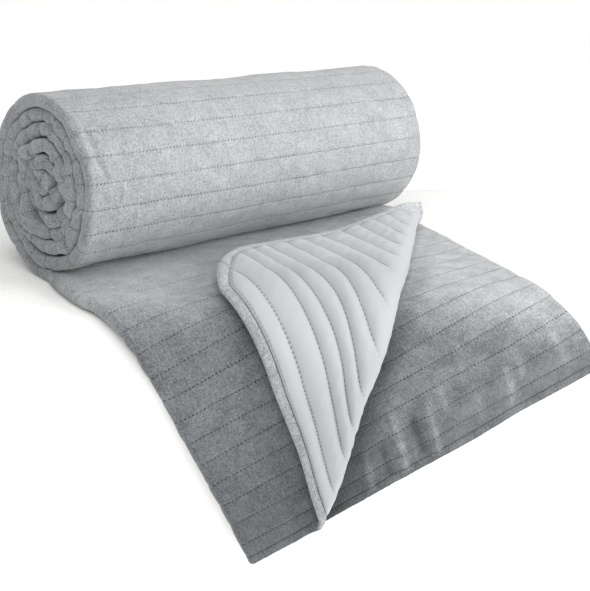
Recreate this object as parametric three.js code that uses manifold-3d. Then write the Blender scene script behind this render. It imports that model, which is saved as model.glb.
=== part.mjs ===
// Quilted bedspread, folded in thirds and rolled up on a padded bench. Its loose end hangs over the front edge.
// Millimetres, +Z up. The origin is the middle of the bench's underside and the bench's front faces -Y.

import * as THREE from 'three';
import Module from 'manifold-3d';

const wasm = await Module();
wasm.setup();

// Driving dimensions of the bench.
const bench = { width: 920, depth: 626, height: 400 };
const benchCornerRadius = 90;
const benchTopRadius = 75;
const benchFootRadius = 12;

// Driving dimensions of the cloth: one quilted layer, and the strip of three layers it is folded into.
const layerThickness = 4.6;
const layerGap = 1.2;
const stitchDepth = 1.6;
const quiltPitch = 30.4;
const hemBand = 31.2;
const stripLength = 523;
const hemWidth = 12;

// Driving dimensions of the roll.
const rollRadius = 105;
const rollLength = 568;
const rollTurns = 5.93;
const rimRound = 7;
const restGap = 0.3;

// Where the roll lies: the foot of its left end on the strip's top face, and its angle to the bench.
const rollFoot = { x: -330, y: -130, z: 418 };
const rollSwing = THREE.MathUtils.degToRad(25.3);

// The bend of the strip's top face over the bench's front edge.
const bendStart = -242;
const bendRadius = 90.3;
const bendAngle = THREE.MathUtils.degToRad(86);

// The corner of the top layer that is turned back: its fold line runs from the hem to the right-hand edge.
const foldAtHem = { across: 79, down: 523 };
const foldAtEdge = { across: 551, down: 104 };
const turnedLean = { quilt: 0.164, hem: 0.045 };
const turnedLift = 19;
const foldRadius = { hem: 8, swell: 6, edge: 4 };
const tip = { across: 556, down: 106, reach: 190, lift: 13 };

// The lining that shows on the turned corner: it lies in a shallow seat inside the velvet hem.
const linerGap = 0.65;
const linerSeat = 0.6;
const linerCrest = 4.5;
const linerGroove = 1.9;
const hemRise = { wall: 2.6, crest: 4.4 };

// Edges of the strip and the turned corner's fold line, measured along the roll's axis from its left end, at
// distances down the strip from the roll.
const stripEdges = [
  { down: 0, left: 7, right: 561, free: 557, fold: 698 },
  { down: 35, left: -4, right: 572, free: 560, fold: 652 },
  { down: 84, left: -11, right: 579, free: 562, fold: 587 },
  { down: 140, left: -11, right: 567, free: 555, fold: 513 },
  { down: 210, left: -10, right: 547, free: 534, fold: 420 },
  { down: 279, left: -9, right: 525, free: 515, fold: 330 },
  { down: 340, left: -8, right: 506, free: 497, fold: 247 },
  { down: 401, left: -7, right: 495, free: 490, fold: 178 },
  { down: 461, left: -6, right: 497, free: 496, fold: 124 },
  { down: 523, left: -6, right: 497, free: 497, fold: 76 },
];

// How far the hem's corner is cut back from the free edge, towards the hem.
const hemCorner = [
  { down: 438, back: 0 },
  { down: 458, back: 2 },
  { down: 468, back: 5 },
  { down: 478, back: 11 },
  { down: 488, back: 21 },
  { down: 498, back: 38 },
  { down: 508, back: 57 },
  { down: 523, back: 84 },
];

// Stations across the folded strip, leg by leg.
const legSteps = 9;
const foldSteps = 3;
const cornerSteps = 4;
const flapSteps = 10;
const hemSteps = 3;

const clothColour = 0x9a9fa2;
const linerColour = 0xd3d5da;
const benchColour = 0xf4f4f2;

// Height above the strip's top face of the middle of each layer.
const layerPitch = layerThickness + layerGap;
const topLayer = -layerThickness / 2;
const middleLayer = topLayer - layerPitch;
const bottomLayer = middleLayer - layerPitch;
const rollSink = rollFoot.z - bench.height - restGap;

const rollDirection = new THREE.Vector2(Math.cos(rollSwing), Math.sin(rollSwing));

// A smooth curve through one column of a table, at a distance down the strip.
function readTable(rows, column, down) {
  const last = rows.length - 1;
  let i = 0;
  while (i < last - 1 && rows[i + 1].down < down) {
    i += 1;
  }
  const slope = (k) => {
    const a = rows[Math.max(k - 1, 0)];
    const b = rows[Math.min(k + 1, last)];
    return (b[column] - a[column]) / (b.down - a.down);
  };
  const span = rows[i + 1].down - rows[i].down;
  const t = (down - rows[i].down) / span;
  const rise = t * t * (3 - 2 * t);
  const value = rows[i][column] * (1 - rise) + rows[i + 1][column] * rise;
  const tangents = (t - 1) * (t - 1) * t * slope(i) + (t - 1) * t * t * slope(i + 1);
  return value + tangents * span;
}

// A point on the bench's level top, from its place along the roll's axis and its distance down the strip.
function planPoint(across, down) {
  return {
    x: rollFoot.x + across * rollDirection.x + down * rollDirection.y,
    y: rollFoot.y + across * rollDirection.y - down * rollDirection.x,
  };
}

// The same point once the cloth hangs over the front edge, lifted off the strip's top face.
function drape(across, down, lift) {
  const plan = planPoint(across, down);
  const past = Math.max(0, bendStart - plan.y);
  const angle = Math.min(past / bendRadius, bendAngle);
  const hang = Math.max(0, past - bendRadius * bendAngle);
  const radius = bendRadius + lift;
  return new THREE.Vector3(
    plan.x,
    plan.y + past - radius * Math.sin(angle) - hang * Math.cos(bendAngle),
    rollFoot.z - bendRadius + radius * Math.cos(angle) - hang * Math.sin(bendAngle),
  );
}

// A closed solid from points and triangles, as a three.js geometry.
function geometryOf(points, triangles) {
  const geometry = new THREE.BufferGeometry().setFromPoints(points);
  geometry.setIndex(triangles.flat());
  return geometry;
}

// Two triangles over four corners, split along the diagonal that bends less over the bench's edge.
function quad(points, a, b, c, d) {
  const first = Math.abs(points[a].bend - points[c].bend);
  const second = Math.abs(points[b].bend - points[d].bend);
  if (first <= second) {
    return [[a, b, c], [a, c, d]];
  }
  return [[a, b, d], [b, c, d]];
}

// A sheet with two faces, from a function that gives both faces' points for each row and station.
function thickSheet(rows, stations, pointsAt) {
  const points = [];
  const triangles = [];
  rows.forEach((row, r) => {
    for (let c = 0; c < stations; c += 1) {
      const pair = pointsAt(row, c, r);
      points.push(pair.face, pair.back);
    }
  });
  const face = (r, c) => 2 * (r * stations + c);
  const back = (r, c) => face(r, c) + 1;
  const lastRow = rows.length - 1;
  const lastStation = stations - 1;
  for (let r = 0; r < lastRow; r += 1) {
    for (let c = 0; c < lastStation; c += 1) {
      triangles.push(...quad(points, face(r, c), face(r + 1, c), face(r + 1, c + 1), face(r, c + 1)));
      triangles.push(...quad(points, back(r, c), back(r, c + 1), back(r + 1, c + 1), back(r + 1, c)));
    }
    triangles.push(...quad(points, face(r, 0), back(r, 0), back(r + 1, 0), face(r + 1, 0)));
    triangles.push(...quad(
      points, face(r, lastStation), face(r + 1, lastStation), back(r + 1, lastStation), back(r, lastStation),
    ));
  }
  for (let c = 0; c < lastStation; c += 1) {
    triangles.push(...quad(points, face(0, c), face(0, c + 1), back(0, c + 1), back(0, c)));
    triangles.push(...quad(
      points, face(lastRow, c), back(lastRow, c), back(lastRow, c + 1), face(lastRow, c + 1),
    ));
  }
  return geometryOf(points, triangles);
}

// Rows down the strip: each stitch line is a groove, with the crest of a channel between two of them.
function quiltRows(from, to) {
  const rows = [];
  for (let line = to - hemBand; line > from; line -= quiltPitch) {
    rows.unshift({ down: line, groove: 1 });
    if (line - quiltPitch / 2 > from) {
      rows.unshift({ down: line - quiltPitch / 2, groove: 0 });
    }
  }
  rows.unshift({ down: from, groove: 0 });
  rows.push({ down: to - (hemBand + hemWidth) / 2, groove: 0 });
  rows.push({ down: to - hemWidth - linerGap, groove: 0.6 });
  rows.push({ down: to - hemWidth, groove: 0.6 });
  rows.push({ down: to - hemWidth / 2, groove: 0 });
  rows.push({ down: to - 2, groove: 0.1 });
  rows.push({ down: to, groove: 0.8 });
  return rows;
}

// The general run of the turned corner's fold line, from end to end.
const foldSpan = {
  across: foldAtEdge.across - foldAtHem.across,
  down: foldAtEdge.down - foldAtHem.down,
};
const foldLength = Math.hypot(foldSpan.across, foldSpan.down);
const foldAlong = { across: foldSpan.across / foldLength, down: foldSpan.down / foldLength };
const foldOut = { across: -foldAlong.down, down: foldAlong.across };

// Where the fold line crosses a row, and how wide the loose fold is there.
function foldAcross(down) {
  return readTable(stripEdges, 'fold', down);
}

function foldRadiusAt(down) {
  const share = THREE.MathUtils.clamp((foldAtHem.down - down) / -foldSpan.down, 0, 1);
  const swell = foldRadius.swell * Math.sin(Math.PI * share);
  return THREE.MathUtils.lerp(foldRadius.hem, foldRadius.edge, share) + swell;
}

// The free edge of the top layer, cut round at the hem's corner.
function freeEdge(down, inset = 0) {
  const row = Math.max(down + inset, hemCorner[0].down);
  return readTable(stripEdges, 'free', down) - inset - readTable(hemCorner, 'back', row);
}

// How far the turned corner's upper tip stands up off the layers below.
function tipRise(across, down) {
  const away = Math.hypot(across - tip.across, down - tip.down);
  return tip.lift * THREE.MathUtils.smoothstep(1 - away / tip.reach, 0, 1);
}

// The half turn of cloth at the fold: where it ends on each row.
function turnEnd(down) {
  return foldAcross(down) + (Math.PI * foldRadiusAt(down)) / foldOut.across;
}

// Where the fold leaves each row, on the fold line, and how the turned corner runs back from there.
function foldExit(down) {
  const run = turnEnd(down) - foldAcross(down);
  return {
    across: foldAcross(down) + run * foldAlong.across * foldAlong.across,
    down: down + run * foldAlong.across * foldAlong.down,
  };
}

// The direction in which a row of the turned corner runs back up the strip.
function turnedRun(down) {
  const share = THREE.MathUtils.smoothstep(down, stripLength - 2 * hemBand, stripLength);
  const lean = THREE.MathUtils.lerp(turnedLean.quilt, turnedLean.hem, share);
  return { across: lean, down: -Math.sqrt(1 - lean * lean) };
}

// The middle of the top layer past its fold line, with the direction in which the velvet faces.
function turnedLayer(across, down) {
  const radius = foldRadiusAt(down);
  const past = (across - foldAcross(down)) * foldOut.across;
  const angle = past / radius;
  if (angle <= 0) {
    return { across, down, lift: topLayer + tipRise(across, down), out: 0, up: 1 };
  }
  if (angle < Math.PI) {
    const slide = (across - foldAcross(down)) * foldAlong.across;
    const reach = radius * Math.sin(angle);
    const toAcross = foldAcross(down) + slide * foldAlong.across + reach * foldOut.across;
    const toDown = down + slide * foldAlong.down + reach * foldOut.down;
    return {
      across: toAcross,
      down: toDown,
      lift: topLayer + radius * (1 - Math.cos(angle)) + tipRise(toAcross, toDown),
      out: -Math.sin(angle),
      up: Math.cos(angle),
    };
  }
  const exit = foldExit(down);
  const flapRun = turnedRun(down);
  const run = across - turnEnd(down);
  const whole = Math.max(1, freeEdge(down) - turnEnd(down));
  const rise = THREE.MathUtils.smoothstep(run / whole, 0, 1);
  const start = topLayer + 2 * radius;
  const toAcross = exit.across + run * flapRun.across;
  const toDown = exit.down + run * flapRun.down;
  return {
    across: toAcross,
    down: toDown,
    lift: start + (turnedLift - start) * rise + tipRise(toAcross, toDown),
    out: 0,
    up: -1,
  };
}

// A point at a height above the middle of the turned corner, measured towards its lining.
function turnedPoint(across, down, height) {
  const middle = turnedLayer(across, down);
  return place(middle, foldOut, -height);
}

// A point offset from the middle of a layer towards its velvet side.
function place(middle, outward, height) {
  const across = middle.across + outward.across * middle.out * height;
  const down = middle.down + outward.down * middle.out * height;
  const point = drape(across, down, middle.lift + middle.up * height);
  point.bend = planPoint(across, down).y;
  return point;
}

// The stations of the turned corner on one row: round the fold, across the flap, then over its velvet hem.
const cornerStations = cornerSteps + flapSteps + hemSteps;

function turnStart(down) {
  return Math.min(foldAcross(down), freeEdge(down) - 2 * hemWidth);
}

function turnedAcross(down, c) {
  const fold = turnStart(down);
  const whole = freeEdge(down) - fold;
  const hem = Math.min(hemWidth + linerGap, 0.35 * whole);
  const seatRow = Math.min(down, stripLength - hemWidth - linerGap);
  const seatEdge = freeEdge(seatRow, hem);
  const seat = Math.min(seatEdge, fold + whole - Math.min(3, hem)) - fold;
  const turned = Math.min(turnEnd(down) - foldAcross(down), 0.4 * seat);
  if (c < cornerSteps) {
    return fold + (turned * (c + 1)) / cornerSteps;
  }
  if (c < cornerSteps + flapSteps) {
    return fold + THREE.MathUtils.lerp(turned, seat, (c + 1 - cornerSteps) / flapSteps);
  }
  const wall = fold + seat + Math.min(linerGap, hem / 3);
  return THREE.MathUtils.lerp(wall, fold + whole, (c - cornerSteps - flapSteps) / (hemSteps - 1));
}

// One station of the folded strip: under layer, right fold, bottom layer, left fold, top layer, turned corner.
const sideways = { across: 1, down: 0 };
const rightFold = legSteps + 1;
const bottomStart = rightFold + foldSteps - 1;
const leftFold = bottomStart + legSteps + 1;
const topStart = leftFold + foldSteps - 1;
const cornerStart = topStart + legSteps + 1;
const stripStations = cornerStart + cornerStations;

function stripStation(down, c) {
  const left = readTable(stripEdges, 'left', down);
  const right = readTable(stripEdges, 'right', down);
  const rightRadius = (middleLayer - bottomLayer) / 2;
  const leftRadius = (topLayer - bottomLayer) / 2;
  const rightCentre = right - rightRadius - layerThickness / 2;
  const leftCentre = left + leftRadius + layerThickness / 2;
  const underEdge = leftCentre + layerThickness / 2;
  if (c < rightFold) {
    const across = THREE.MathUtils.lerp(underEdge, rightCentre, c / legSteps);
    return { middle: { across, down, lift: middleLayer, out: 0, up: 1 }, outward: sideways };
  }
  if (c < bottomStart) {
    const angle = (Math.PI * (c - rightFold + 1)) / foldSteps;
    const middle = {
      across: rightCentre + rightRadius * Math.sin(angle),
      down,
      lift: middleLayer - rightRadius * (1 - Math.cos(angle)),
      out: Math.sin(angle),
      up: Math.cos(angle),
    };
    return { middle, outward: sideways };
  }
  if (c < leftFold) {
    const across = THREE.MathUtils.lerp(rightCentre, leftCentre, (c - bottomStart) / legSteps);
    return { middle: { across, down, lift: bottomLayer, out: 0, up: -1 }, outward: sideways };
  }
  if (c < topStart) {
    const angle = (Math.PI * (c - leftFold + 1)) / foldSteps;
    const middle = {
      across: leftCentre - leftRadius * Math.sin(angle),
      down,
      lift: bottomLayer + leftRadius * (1 - Math.cos(angle)),
      out: -Math.sin(angle),
      up: -Math.cos(angle),
    };
    return { middle, outward: sideways };
  }
  if (c < cornerStart) {
    const across = THREE.MathUtils.lerp(leftCentre, turnStart(down), (c - topStart) / legSteps);
    return { middle: turnedLayer(across, down), outward: sideways };
  }
  return { middle: turnedLayer(turnedAcross(down, c - cornerStart), down), outward: foldOut };
}

// The height of the velvet panel on the lining's side of the turned corner.
function seatHeight(row, c) {
  const onHem = c >= cornerStart + cornerSteps + flapSteps || row.down > stripLength - hemWidth - 0.1;
  if (!onHem) {
    return linerSeat;
  }
  const atEdge = c === stripStations - 1 || row.down > stripLength - 1;
  if (atEdge) {
    return 0.6;
  }
  const onCrest = c === stripStations - 2 || row.down > stripLength - hemWidth + 1;
  return onCrest ? hemRise.crest : hemRise.wall;
}

// The loose end: the whole folded strip from inside the roll to the hem.
function looseEnd() {
  const rows = quiltRows(rollRadius / 13, stripLength);
  return thickSheet(rows, stripStations, (row, c) => {
    const { middle, outward } = stripStation(row.down, c);
    const edge = c === 0 || c === stripStations - 1 ? 1 : 0;
    const half = layerThickness / 2 - Math.max(row.groove, edge * 0.8) * stitchDepth;
    const lined = c >= cornerStart && linedRow(row.down);
    return {
      face: place(middle, outward, half),
      back: place(middle, outward, lined ? -seatHeight(row, c) : -half),
    };
  });
}

// The turned corner is lined on every row where more than a sliver of it is turned.
function linedRow(down) {
  return readTable(stripEdges, 'free', down) - foldAcross(down) > 2 * hemWidth;
}

// The roll's outline, from where it meets the strip in front, over the top and down the back to the bench.
const rollStart = THREE.MathUtils.degToRad(-70.8);
const rollBack = THREE.MathUtils.degToRad(100);
const rollBottom = THREE.MathUtils.degToRad(270);
const firstLine = -0.964;
const outerGain = 19.5;

function rollReach(angle) {
  return rollRadius + outerGain * THREE.MathUtils.smoothstep(angle, rollBack, rollBottom);
}

function rollOutline() {
  const outline = [{ angle: rollStart, groove: 0 }];
  let angle = firstLine;
  while (angle < rollBottom - 0.3) {
    const half = quiltPitch / 2 / rollReach(angle);
    outline.push({ angle, groove: 1 }, { angle: angle + half, groove: 0 });
    angle += 2 * half;
  }
  outline.push({ angle: rollBottom - 0.16, groove: 0 });
  outline.push({ angle: rollBottom + 0.08, groove: 0 });
  outline.push({ angle: rollStart + 2 * Math.PI, groove: 0 });
  return outline.map((mark) => {
    const floor = (rollRadius + rollSink) / Math.max(0.001, -Math.sin(mark.angle));
    const onFloor = mark.angle > Math.PI * 1.25;
    const free = mark.angle > rollBottom ? floor : rollReach(mark.angle);
    const reach = onFloor ? Math.min(free, floor) : free;
    return { angle: mark.angle, reach: reach - mark.groove * stitchDepth };
  });
}

// A point of the roll from its place along the axis, its angle round the axis and its distance from it.
function rollPoint(along, angle, reach) {
  const plan = planPoint(along, reach * Math.cos(angle));
  return new THREE.Vector3(plan.x, plan.y, rollFoot.z + rollRadius + reach * Math.sin(angle));
}

// How far each turn of cloth stands out of the roll's end, turn by turn from the outside.
const turnReliefs = [
  { down: 0, left: 0, right: 0 },
  { down: 1, left: 4, right: 3 },
  { down: 2, left: -6, right: -5 },
  { down: 3, left: 2, right: 4 },
  { down: 4, left: -7, right: -5 },
  { down: 5, left: 3, right: 1 },
  { down: 6, left: -8, right: -6 },
  { down: 7, left: 5, right: 3 },
  { down: 8, left: -6, right: -5 },
  { down: 9, left: 6, right: 4 },
  { down: 10, left: -9, right: -6 },
];

// The roll as one wound solid: quilted sides, rounded rims and the spiral of its turns at both ends.
function woundRoll() {
  const outline = rollOutline();
  const last = outline.length - 1;
  const loop = outline.length + 1;
  const columns = [
    { along: 0, inset: rimRound },
    { along: rimRound * 0.4, inset: rimRound * 0.3 },
    { along: rimRound * 1.5, inset: 0 },
    { along: rollLength * 0.13, inset: 1.5 },
    { along: rollLength * 0.32, inset: 0 },
    { along: rollLength * 0.5, inset: 0.8 },
    { along: rollLength * 0.7, inset: 0 },
    { along: rollLength * 0.87, inset: 0.6 },
    { along: rollLength - rimRound * 1.5, inset: 0 },
    { along: rollLength - rimRound * 0.4, inset: rimRound * 0.3 },
    { along: rollLength, inset: rimRound },
  ];
  const points = [];
  const triangles = [];
  for (const column of columns) {
    const ring = outline.map((mark) => {
      const low = mark.angle > rollBottom - 0.2 && mark.angle < rollBottom + 0.1;
      const inset = low && column.inset < 2 ? 0 : column.inset;
      return rollPoint(column.along, mark.angle, mark.reach - inset);
    });
    points.push(...ring, ring[0].clone().lerp(ring[last], 0.5));
  }
  const side = (column, j) => column * loop + (j % loop);
  for (let column = 0; column < columns.length - 1; column += 1) {
    for (let j = 0; j < loop; j += 1) {
      const a = side(column, j);
      const b = side(column, j + 1);
      const c = side(column + 1, j + 1);
      const d = side(column + 1, j);
      triangles.push([a, c, b], [a, d, c]);
    }
  }
  const ends = [
    { column: 0, name: 'left', face: -1 },
    { column: columns.length - 1, name: 'right', face: 1 },
  ];
  for (const end of ends) {
    const rings = turnReliefs.length - 1;
    const firstPoint = points.length;
    const spiralReach = (ring, j) => {
      const turn = outline[j].angle - rollStart;
      const wound = (turn / (2 * Math.PI)) - ring / 2;
      if (wound < 0) {
        return rollRadius * (1 + wound / rollTurns);
      }
      return outline[j].reach - rimRound * (1 - Math.min(1, ring / 2));
    };
    for (let ring = 1; ring <= rings; ring += 1) {
      for (let j = 0; j < last; j += 1) {
        const even = ring % 2 === 0;
        const reach = even
          ? spiralReach(ring, j)
          : (spiralReach(ring - 1, j) + spiralReach(ring + 1, j)) / 2;
        const share = j / last;
        const next = turnReliefs[Math.max(0, ring - 2)][end.name];
        const relief = THREE.MathUtils.lerp(turnReliefs[ring][end.name], next, share * share);
        points.push(rollPoint(columns[end.column].along + end.face * relief, outline[j].angle, reach));
      }
    }
    const cap = (ring, j) => {
      if (ring === 0) {
        return side(end.column, j);
      }
      if (j < last) {
        return firstPoint + (ring - 1) * last + j;
      }
      return ring === 1 ? side(end.column, last + 1) : cap(ring - 2, 0);
    };
    const facet = (a, b, c) => triangles.push(end.face < 0 ? [a, b, c] : [a, c, b]);
    for (let ring = 0; ring < rings; ring += 1) {
      for (let j = 0; j < last; j += 1) {
        facet(cap(ring, j), cap(ring, j + 1), cap(ring + 1, j + 1));
        facet(cap(ring, j), cap(ring + 1, j + 1), cap(ring + 1, j));
      }
    }
    const centre = points.length;
    points.push(rollPoint(columns[end.column].along - end.face * 4, 0, 0));
    for (let j = 0; j < last; j += 1) {
      facet(cap(rings, j), cap(rings, j + 1), centre);
    }
    facet(cap(rings, last), cap(rings - 1, 0), centre);
    facet(cap(rings - 1, 0), cap(rings, 0), centre);
  }
  return geometryOf(points, triangles);
}

// The union of closed solids.
function join(geometries) {
  const solids = geometries.map((geometry) => new wasm.Manifold(new wasm.Mesh({
    numProp: 3,
    vertProperties: new Float32Array(geometry.attributes.position.array),
    triVerts: new Uint32Array(geometry.index.array),
  })));
  const mesh = solids.reduce((whole, solid) => whole.add(solid)).getMesh();
  const geometry = new THREE.BufferGeometry();
  geometry.setAttribute('position', new THREE.BufferAttribute(mesh.vertProperties, 3));
  geometry.setIndex(new THREE.BufferAttribute(mesh.triVerts, 1));
  return geometry;
}

// The lining that shows on the turned corner, puffed between its stitch lines.
function cornerLining() {
  const seatEnd = stripLength - hemWidth - linerGap;
  const allRows = quiltRows(rollRadius / 13, stripLength);
  const rows = allRows.filter((row) => row.down < seatEnd && linedRow(row.down));
  rows.push({ down: seatEnd, groove: 0.6 });
  const stations = cornerSteps + flapSteps;
  return thickSheet(rows, stations, (row, c) => {
    const last = c === stations - 1;
    const across = turnedAcross(row.down, c) - (last ? linerGap : 0);
    const down = Math.min(row.down, seatEnd - linerGap);
    const rim = c === 0 || last ? 0.6 : 0;
    const height = THREE.MathUtils.lerp(linerCrest, linerGroove, Math.max(row.groove, rim));
    return {
      face: turnedPoint(across, down, linerSeat + linerGap),
      back: turnedPoint(across, down, height),
    };
  });
}

// The bench: a padded block with upright rounded corners and a softly rounded top edge.
function paddedBench() {
  const levels = [{ height: 0, inset: benchFootRadius }];
  levels.push({ height: benchFootRadius * 0.3, inset: benchFootRadius * 0.3 });
  levels.push({ height: benchFootRadius, inset: 0 });
  const topSteps = 9;
  for (let i = 0; i <= topSteps; i += 1) {
    const angle = (Math.PI / 2) * (i / topSteps);
    levels.push({
      height: bench.height - benchTopRadius * (1 - Math.sin(angle)),
      inset: benchTopRadius * (1 - Math.cos(angle)),
    });
  }
  const cornerPieces = 7;
  const points = [];
  for (const level of levels) {
    const radius = benchCornerRadius - level.inset;
    for (let corner = 0; corner < 4; corner += 1) {
      for (let i = 0; i <= cornerPieces; i += 1) {
        const angle = (Math.PI / 2) * (corner + i / cornerPieces);
        const signX = corner === 0 || corner === 3 ? 1 : -1;
        const signY = corner < 2 ? 1 : -1;
        points.push(new THREE.Vector3(
          signX * (bench.width / 2 - benchCornerRadius) + radius * Math.cos(angle),
          signY * (bench.depth / 2 - benchCornerRadius) + radius * Math.sin(angle),
          level.height,
        ));
      }
    }
  }
  const size = 4 * (cornerPieces + 1);
  const triangles = [];
  for (let k = 0; k < levels.length - 1; k += 1) {
    for (let i = 0; i < size; i += 1) {
      const a = k * size + i;
      const b = k * size + ((i + 1) % size);
      triangles.push([a, b, b + size], [a, b + size, a + size]);
    }
  }
  const top = (levels.length - 1) * size;
  for (let i = 1; i < size - 1; i += 1) {
    triangles.push([0, i + 1, i], [top, top + i, top + i + 1]);
  }
  return geometryOf(points, triangles);
}

function clothMaterial(color, roughness) {
  return new THREE.MeshStandardMaterial({ color, roughness, metalness: 0 });
}

function named(name, geometry, material) {
  const mesh = new THREE.Mesh(geometry, material);
  mesh.name = name;
  return mesh;
}

const bedspread = new THREE.Group();
bedspread.add(
  named('padded_bench', paddedBench(), clothMaterial(benchColour, 0.85)),
  named('quilted_panel', join([woundRoll(), looseEnd()]), clothMaterial(clothColour, 0.95)),
  named('corner_lining', cornerLining(), clothMaterial(linerColour, 0.6)),
);

export default bedspread;
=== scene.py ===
import bpy
import numpy as np
from mathutils import Matrix


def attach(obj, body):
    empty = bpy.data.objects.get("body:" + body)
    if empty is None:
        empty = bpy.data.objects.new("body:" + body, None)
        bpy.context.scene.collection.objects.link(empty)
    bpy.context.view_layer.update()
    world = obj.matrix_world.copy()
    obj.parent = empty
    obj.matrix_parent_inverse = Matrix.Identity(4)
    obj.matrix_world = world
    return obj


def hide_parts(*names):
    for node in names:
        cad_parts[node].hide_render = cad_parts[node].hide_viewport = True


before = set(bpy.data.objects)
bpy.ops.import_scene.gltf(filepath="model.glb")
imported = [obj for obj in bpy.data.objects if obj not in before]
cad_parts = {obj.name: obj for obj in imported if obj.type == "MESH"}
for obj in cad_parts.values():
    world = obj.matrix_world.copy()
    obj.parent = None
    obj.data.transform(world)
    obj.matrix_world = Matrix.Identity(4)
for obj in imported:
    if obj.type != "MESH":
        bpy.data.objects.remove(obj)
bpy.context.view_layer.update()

# The padded bench that the bedspread lies on: a foam-covered block in a plain white cotton cover.
# The cover is sewn tight, so the upright corners and the top edge are softly rounded.
# It stands flat on the floor, with its cover drawn in a little round the foot.

# The bench's sizes are in metres.
BENCH_WIDTH = 0.920
BENCH_DEPTH = 0.626
BENCH_HEIGHT = 0.400
BENCH_CORNER = 0.090  # the radius of its upright corners
BENCH_TOP_EDGE = 0.075  # the radius of its top edge
BENCH_FOOT = 0.012  # how far the cover is drawn in where it meets the floor
COVER_WHITE = "fdfdfb"
COVER_SLUB = "f8f8f6"
SLUB_MM = 11.0  # how far apart the yarn's thicker places lie
THREAD_MM = 1.4  # the cotton's threads are 0.5 mm apart, drawn coarser so that they show
COVER_RELIEF = 0.0004  # metres


def linear(code):
    """A colour written as sRGB hex, as linear RGBA."""
    levels = [int(code[i:i + 2], 16) / 255 for i in (0, 2, 4)]
    return (*[x / 12.92 if x <= 0.04045 else ((x + 0.055) / 1.055) ** 2.4 for x in levels], 1.0)


def feed(tree, node, inputs):
    """Give a node's inputs their values, or link them to the sockets or nodes that feed them."""
    for key, value in inputs.items():
        if isinstance(value, bpy.types.Node):
            value = next(socket for socket in value.outputs if socket.enabled)
        if isinstance(value, bpy.types.NodeSocket):
            tree.links.new(value, node.inputs[key])
        else:
            node.inputs[key].default_value = value


def add_node(tree, kind, inputs=None, **settings):
    """A new node with its settings, and with its inputs fed."""
    node = tree.nodes.new(kind)
    for key, value in settings.items():
        setattr(node, key, value)
    feed(tree, node, inputs or {})
    return node


def new_material(name):
    """A material with its node tree and its surface shader."""
    material = bpy.data.materials.new(name)
    material.use_nodes = True
    return material, material.node_tree, material.node_tree.nodes["Principled BSDF"]


def add_object(name, data):
    """A new object in the scene."""
    thing = bpy.data.objects.new(name, data)
    bpy.context.scene.collection.objects.link(thing)
    return thing


def add_piece(name, points, faces, material, node):
    """A smooth mesh in metres that stands for a solid and rides on the part's one body."""
    mesh = bpy.data.meshes.new(name)
    mesh.from_pydata(np.asarray(points).tolist(), [], faces)
    mesh.polygons.foreach_set("use_smooth", np.ones(len(mesh.polygons), bool))
    mesh.materials.append(material)
    piece = add_object(name, mesh)
    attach(piece, "root")
    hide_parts(node)
    return piece


def plain_cotton():
    """A plain weave: matt, white, with a fine even grain of crossing threads."""
    material, tree, cotton = new_material("white cotton cover")
    place = add_node(tree, "ShaderNodeTexCoord").outputs["Object"]
    slubs, weave = [
        add_node(tree, "ShaderNodeTexNoise", {"Vector": place, "Scale": scale, "Detail": detail})
        for scale, detail in ((1000 / SLUB_MM, 4.0), (1000 / THREAD_MM, 1.0))
    ]
    height = add_node(tree, "ShaderNodeMath", {0: slubs, 1: weave}, operation="ADD")
    relief = {"Height": height, "Distance": COVER_RELIEF, "Strength": 0.35}
    shade = add_node(tree, "ShaderNodeValToRGB", {"Fac": slubs})
    slub, ground = shade.color_ramp.elements
    slub.position, slub.color = 0.3, linear(COVER_SLUB)
    ground.position, ground.color = 0.7, linear(COVER_WHITE)
    feed(tree, cotton, {
        "Base Color": shade,
        "Normal": add_node(tree, "ShaderNodeBump", relief),
        "Roughness": 0.85,
        "Specular IOR Level": 0.25,
    })
    return material


# Each level is a height and how far in from the sides it lies: the foot, the sides, the top edge.
levels = [(0.0, BENCH_FOOT), (BENCH_FOOT * 0.3, BENCH_FOOT * 0.3), (BENCH_FOOT, 0.0)]
side_top = BENCH_HEIGHT - BENCH_TOP_EDGE - 0.02
levels += [(height, 0.0) for height in np.linspace(0.03, side_top, 12)]
for turn in np.radians(np.linspace(0, 90, 19)):
    levels.append((
        BENCH_HEIGHT - BENCH_TOP_EDGE * (1 - np.sin(turn)),
        BENCH_TOP_EDGE * (1 - np.cos(turn)),
    ))
outline = []
for quarter, (side_x, side_y) in enumerate([(1, 1), (-1, 1), (-1, -1), (1, -1)]):
    for turn in np.radians(90 * quarter + np.linspace(0, 90, 17)):
        outline.append((side_x, side_y, np.cos(turn), np.sin(turn)))
outline = np.array(outline)
around = len(outline)
bench_points = []
for height, inset in levels:
    radius = BENCH_CORNER - inset
    x = outline[:, 0] * (BENCH_WIDTH / 2 - BENCH_CORNER) + radius * outline[:, 2]
    y = outline[:, 1] * (BENCH_DEPTH / 2 - BENCH_CORNER) + radius * outline[:, 3]
    bench_points.append(np.stack([x, y, np.full(around, height)], axis=1))
bench_faces = []
for low in range(0, (len(levels) - 1) * around, around):
    high = low + around
    for i in range(around):
        step = (i + 1) % around
        bench_faces.append([low + i, low + step, high + step, high + i])
underside = len(bench_faces)
bench_faces.append(list(range(around))[::-1])
bench_faces.append([high + i for i in range(around)])
bench = add_piece(
    "bench",
    np.concatenate(bench_points),
    bench_faces,
    plain_cotton(),
    "padded_bench",
)
bench.data.polygons[underside].use_smooth = False

# The rolled part of the bedspread: velvet over wadding, sewn in channels, folded and wound up.
# Each turn is the folded strip on edge, so the roll's ends show a spiral of soft folds.
# The velvet's pile lies one way, and its fibres are of two greys, which gives it a heathered look.

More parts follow.
